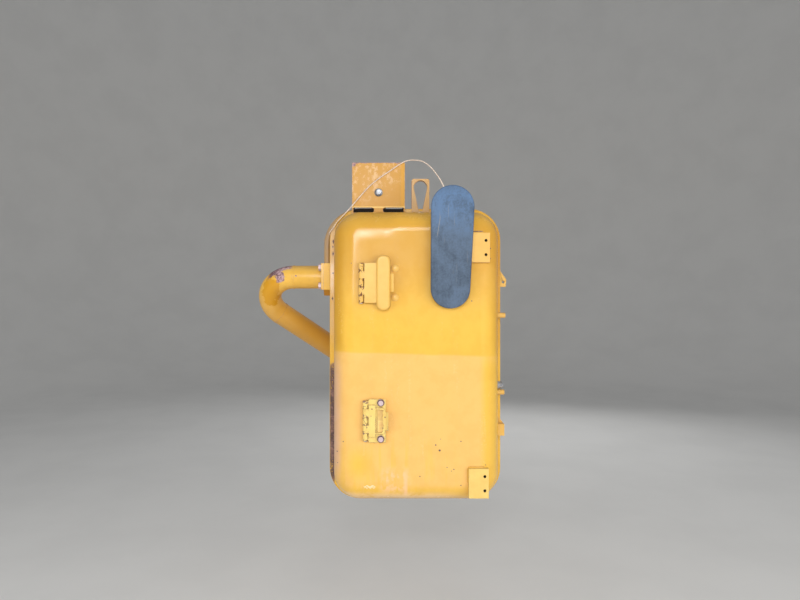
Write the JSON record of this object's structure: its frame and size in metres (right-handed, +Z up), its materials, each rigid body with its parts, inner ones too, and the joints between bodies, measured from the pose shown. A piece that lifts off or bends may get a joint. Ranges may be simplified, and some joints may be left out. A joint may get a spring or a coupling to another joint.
{
  "type": "hydraulic oil tank",
  "caption": "Drawn steel hydraulic oil tank of a heavy haul truck, with seam flange, sight gauges under hinged guards, breather guard, lifting eye, return pipe and rear mounting bars.",
  "frame": {"origin": "centre of the four-hole pattern on the rear mounting plane", "axes": "+X towards the truck's front, -Y outboard through the tank's front face, +Z up"},
  "size_m": [0.9554, 0.5282, 1.2616],
  "materials": {
    "front_paint": "sun-faded machine yellow, chalky, dusty at the foot",
    "tank_paint": "machine yellow with road dust",
    "fitting_paint": "machine yellow, chipped at the edges",
    "guard_paint": "machine yellow, rubbed and rusty at the edges",
    "pipe_paint": "machine yellow with a rust patch and a darker repaint",
    "worn_steel": "bare steel, rusted, with remains of paint",
    "zinc": "zinc plated",
    "gauge_glass": "oil-stained glass",
    "rubber": "weathered black rubber, blue-grey with dust",
    "wire": "galvanized steel wire"
  },
  "bodies": {
    "root": {"front_shell": "front_paint", "rear_shell": "tank_paint", "upper_mount_bar": "tank_paint", "lower_mount_bar": "tank_paint", "upper_pad": "fitting_paint", "lower_pad": "fitting_paint", "upper_gauge": "fitting_paint", "upper_glass": "gauge_glass", "upper_gauge_bolts": "worn_steel", "lower_gauge": "fitting_paint", "lower_glass": "gauge_glass", "lower_gauge_bolts": "worn_steel", "upper_hinge": "front_paint", "upper_hinge_pin": "worn_steel", "lower_hinge": "front_paint", "lower_hinge_pin": "worn_steel", "guard_stops": "fitting_paint", "breather_guard": "guard_paint", "guard_post": "fitting_paint", "guard_bolt": "zinc", "filler_cap": "worn_steel", "lifting_eye": "fitting_paint", "port_block": "fitting_paint", "return_pipe": "pipe_paint", "flange_bolts": "worn_steel", "vent_tube": "pipe_paint", "upper_side_lug": "fitting_paint", "lower_side_lug": "fitting_paint", "level_port": "fitting_paint", "temperature_sender": "zinc", "sample_port": "fitting_paint", "suction_port": "tank_paint", "drain_plug": "worn_steel", "rubber_pad": "rubber", "pad_wire": "wire"},
    "upper_door": {"upper_guard": "guard_paint"},
    "lower_door": {"lower_guard": "guard_paint"}
  },
  "joints": [
    {"name": "upper_guard_hinge", "type": "hinge", "parent": "root", "child": "upper_door", "pos_m": [-0.197, -0.4705, 0.26], "axis": [0, 0, -1], "range_deg": [0, 130]},
    {"name": "lower_guard_hinge", "type": "hinge", "parent": "root", "child": "lower_door", "pos_m": [-0.182, -0.4705, -0.221], "axis": [0, 0, -1], "range_deg": [0, 130]}
  ]
}
